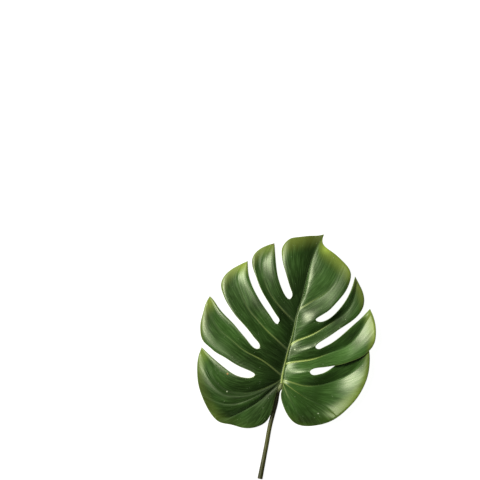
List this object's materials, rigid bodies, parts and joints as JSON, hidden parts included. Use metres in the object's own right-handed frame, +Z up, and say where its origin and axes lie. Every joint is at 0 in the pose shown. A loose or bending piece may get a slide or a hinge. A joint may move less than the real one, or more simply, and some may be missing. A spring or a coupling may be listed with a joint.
{
  "type": "monstera leaf",
  "caption": "Monstera leaf lying glossy side up: a heart-shaped blade folded along its sunken veins and split into lobes, with its olive stalk cut flat.",
  "frame": {"origin": "Middle of the whole leaf's outline, on the surface it lies on", "axes": "+Y from the cut stalk towards the blade's tip, +X to the right across the blade, +Z up out of the glossy side"},
  "size_m": [0.2405, 0.3306, 0.024],
  "materials": {
    "blade": "glossy dark green leaf, pale sunken veins, yellow-green margin",
    "petiole": "smooth satin stalk, olive green darkening to brown under the blade"
  },
  "bodies": {
    "root": {"blade": "blade", "petiole": "petiole"}
  },
  "joints": []
}
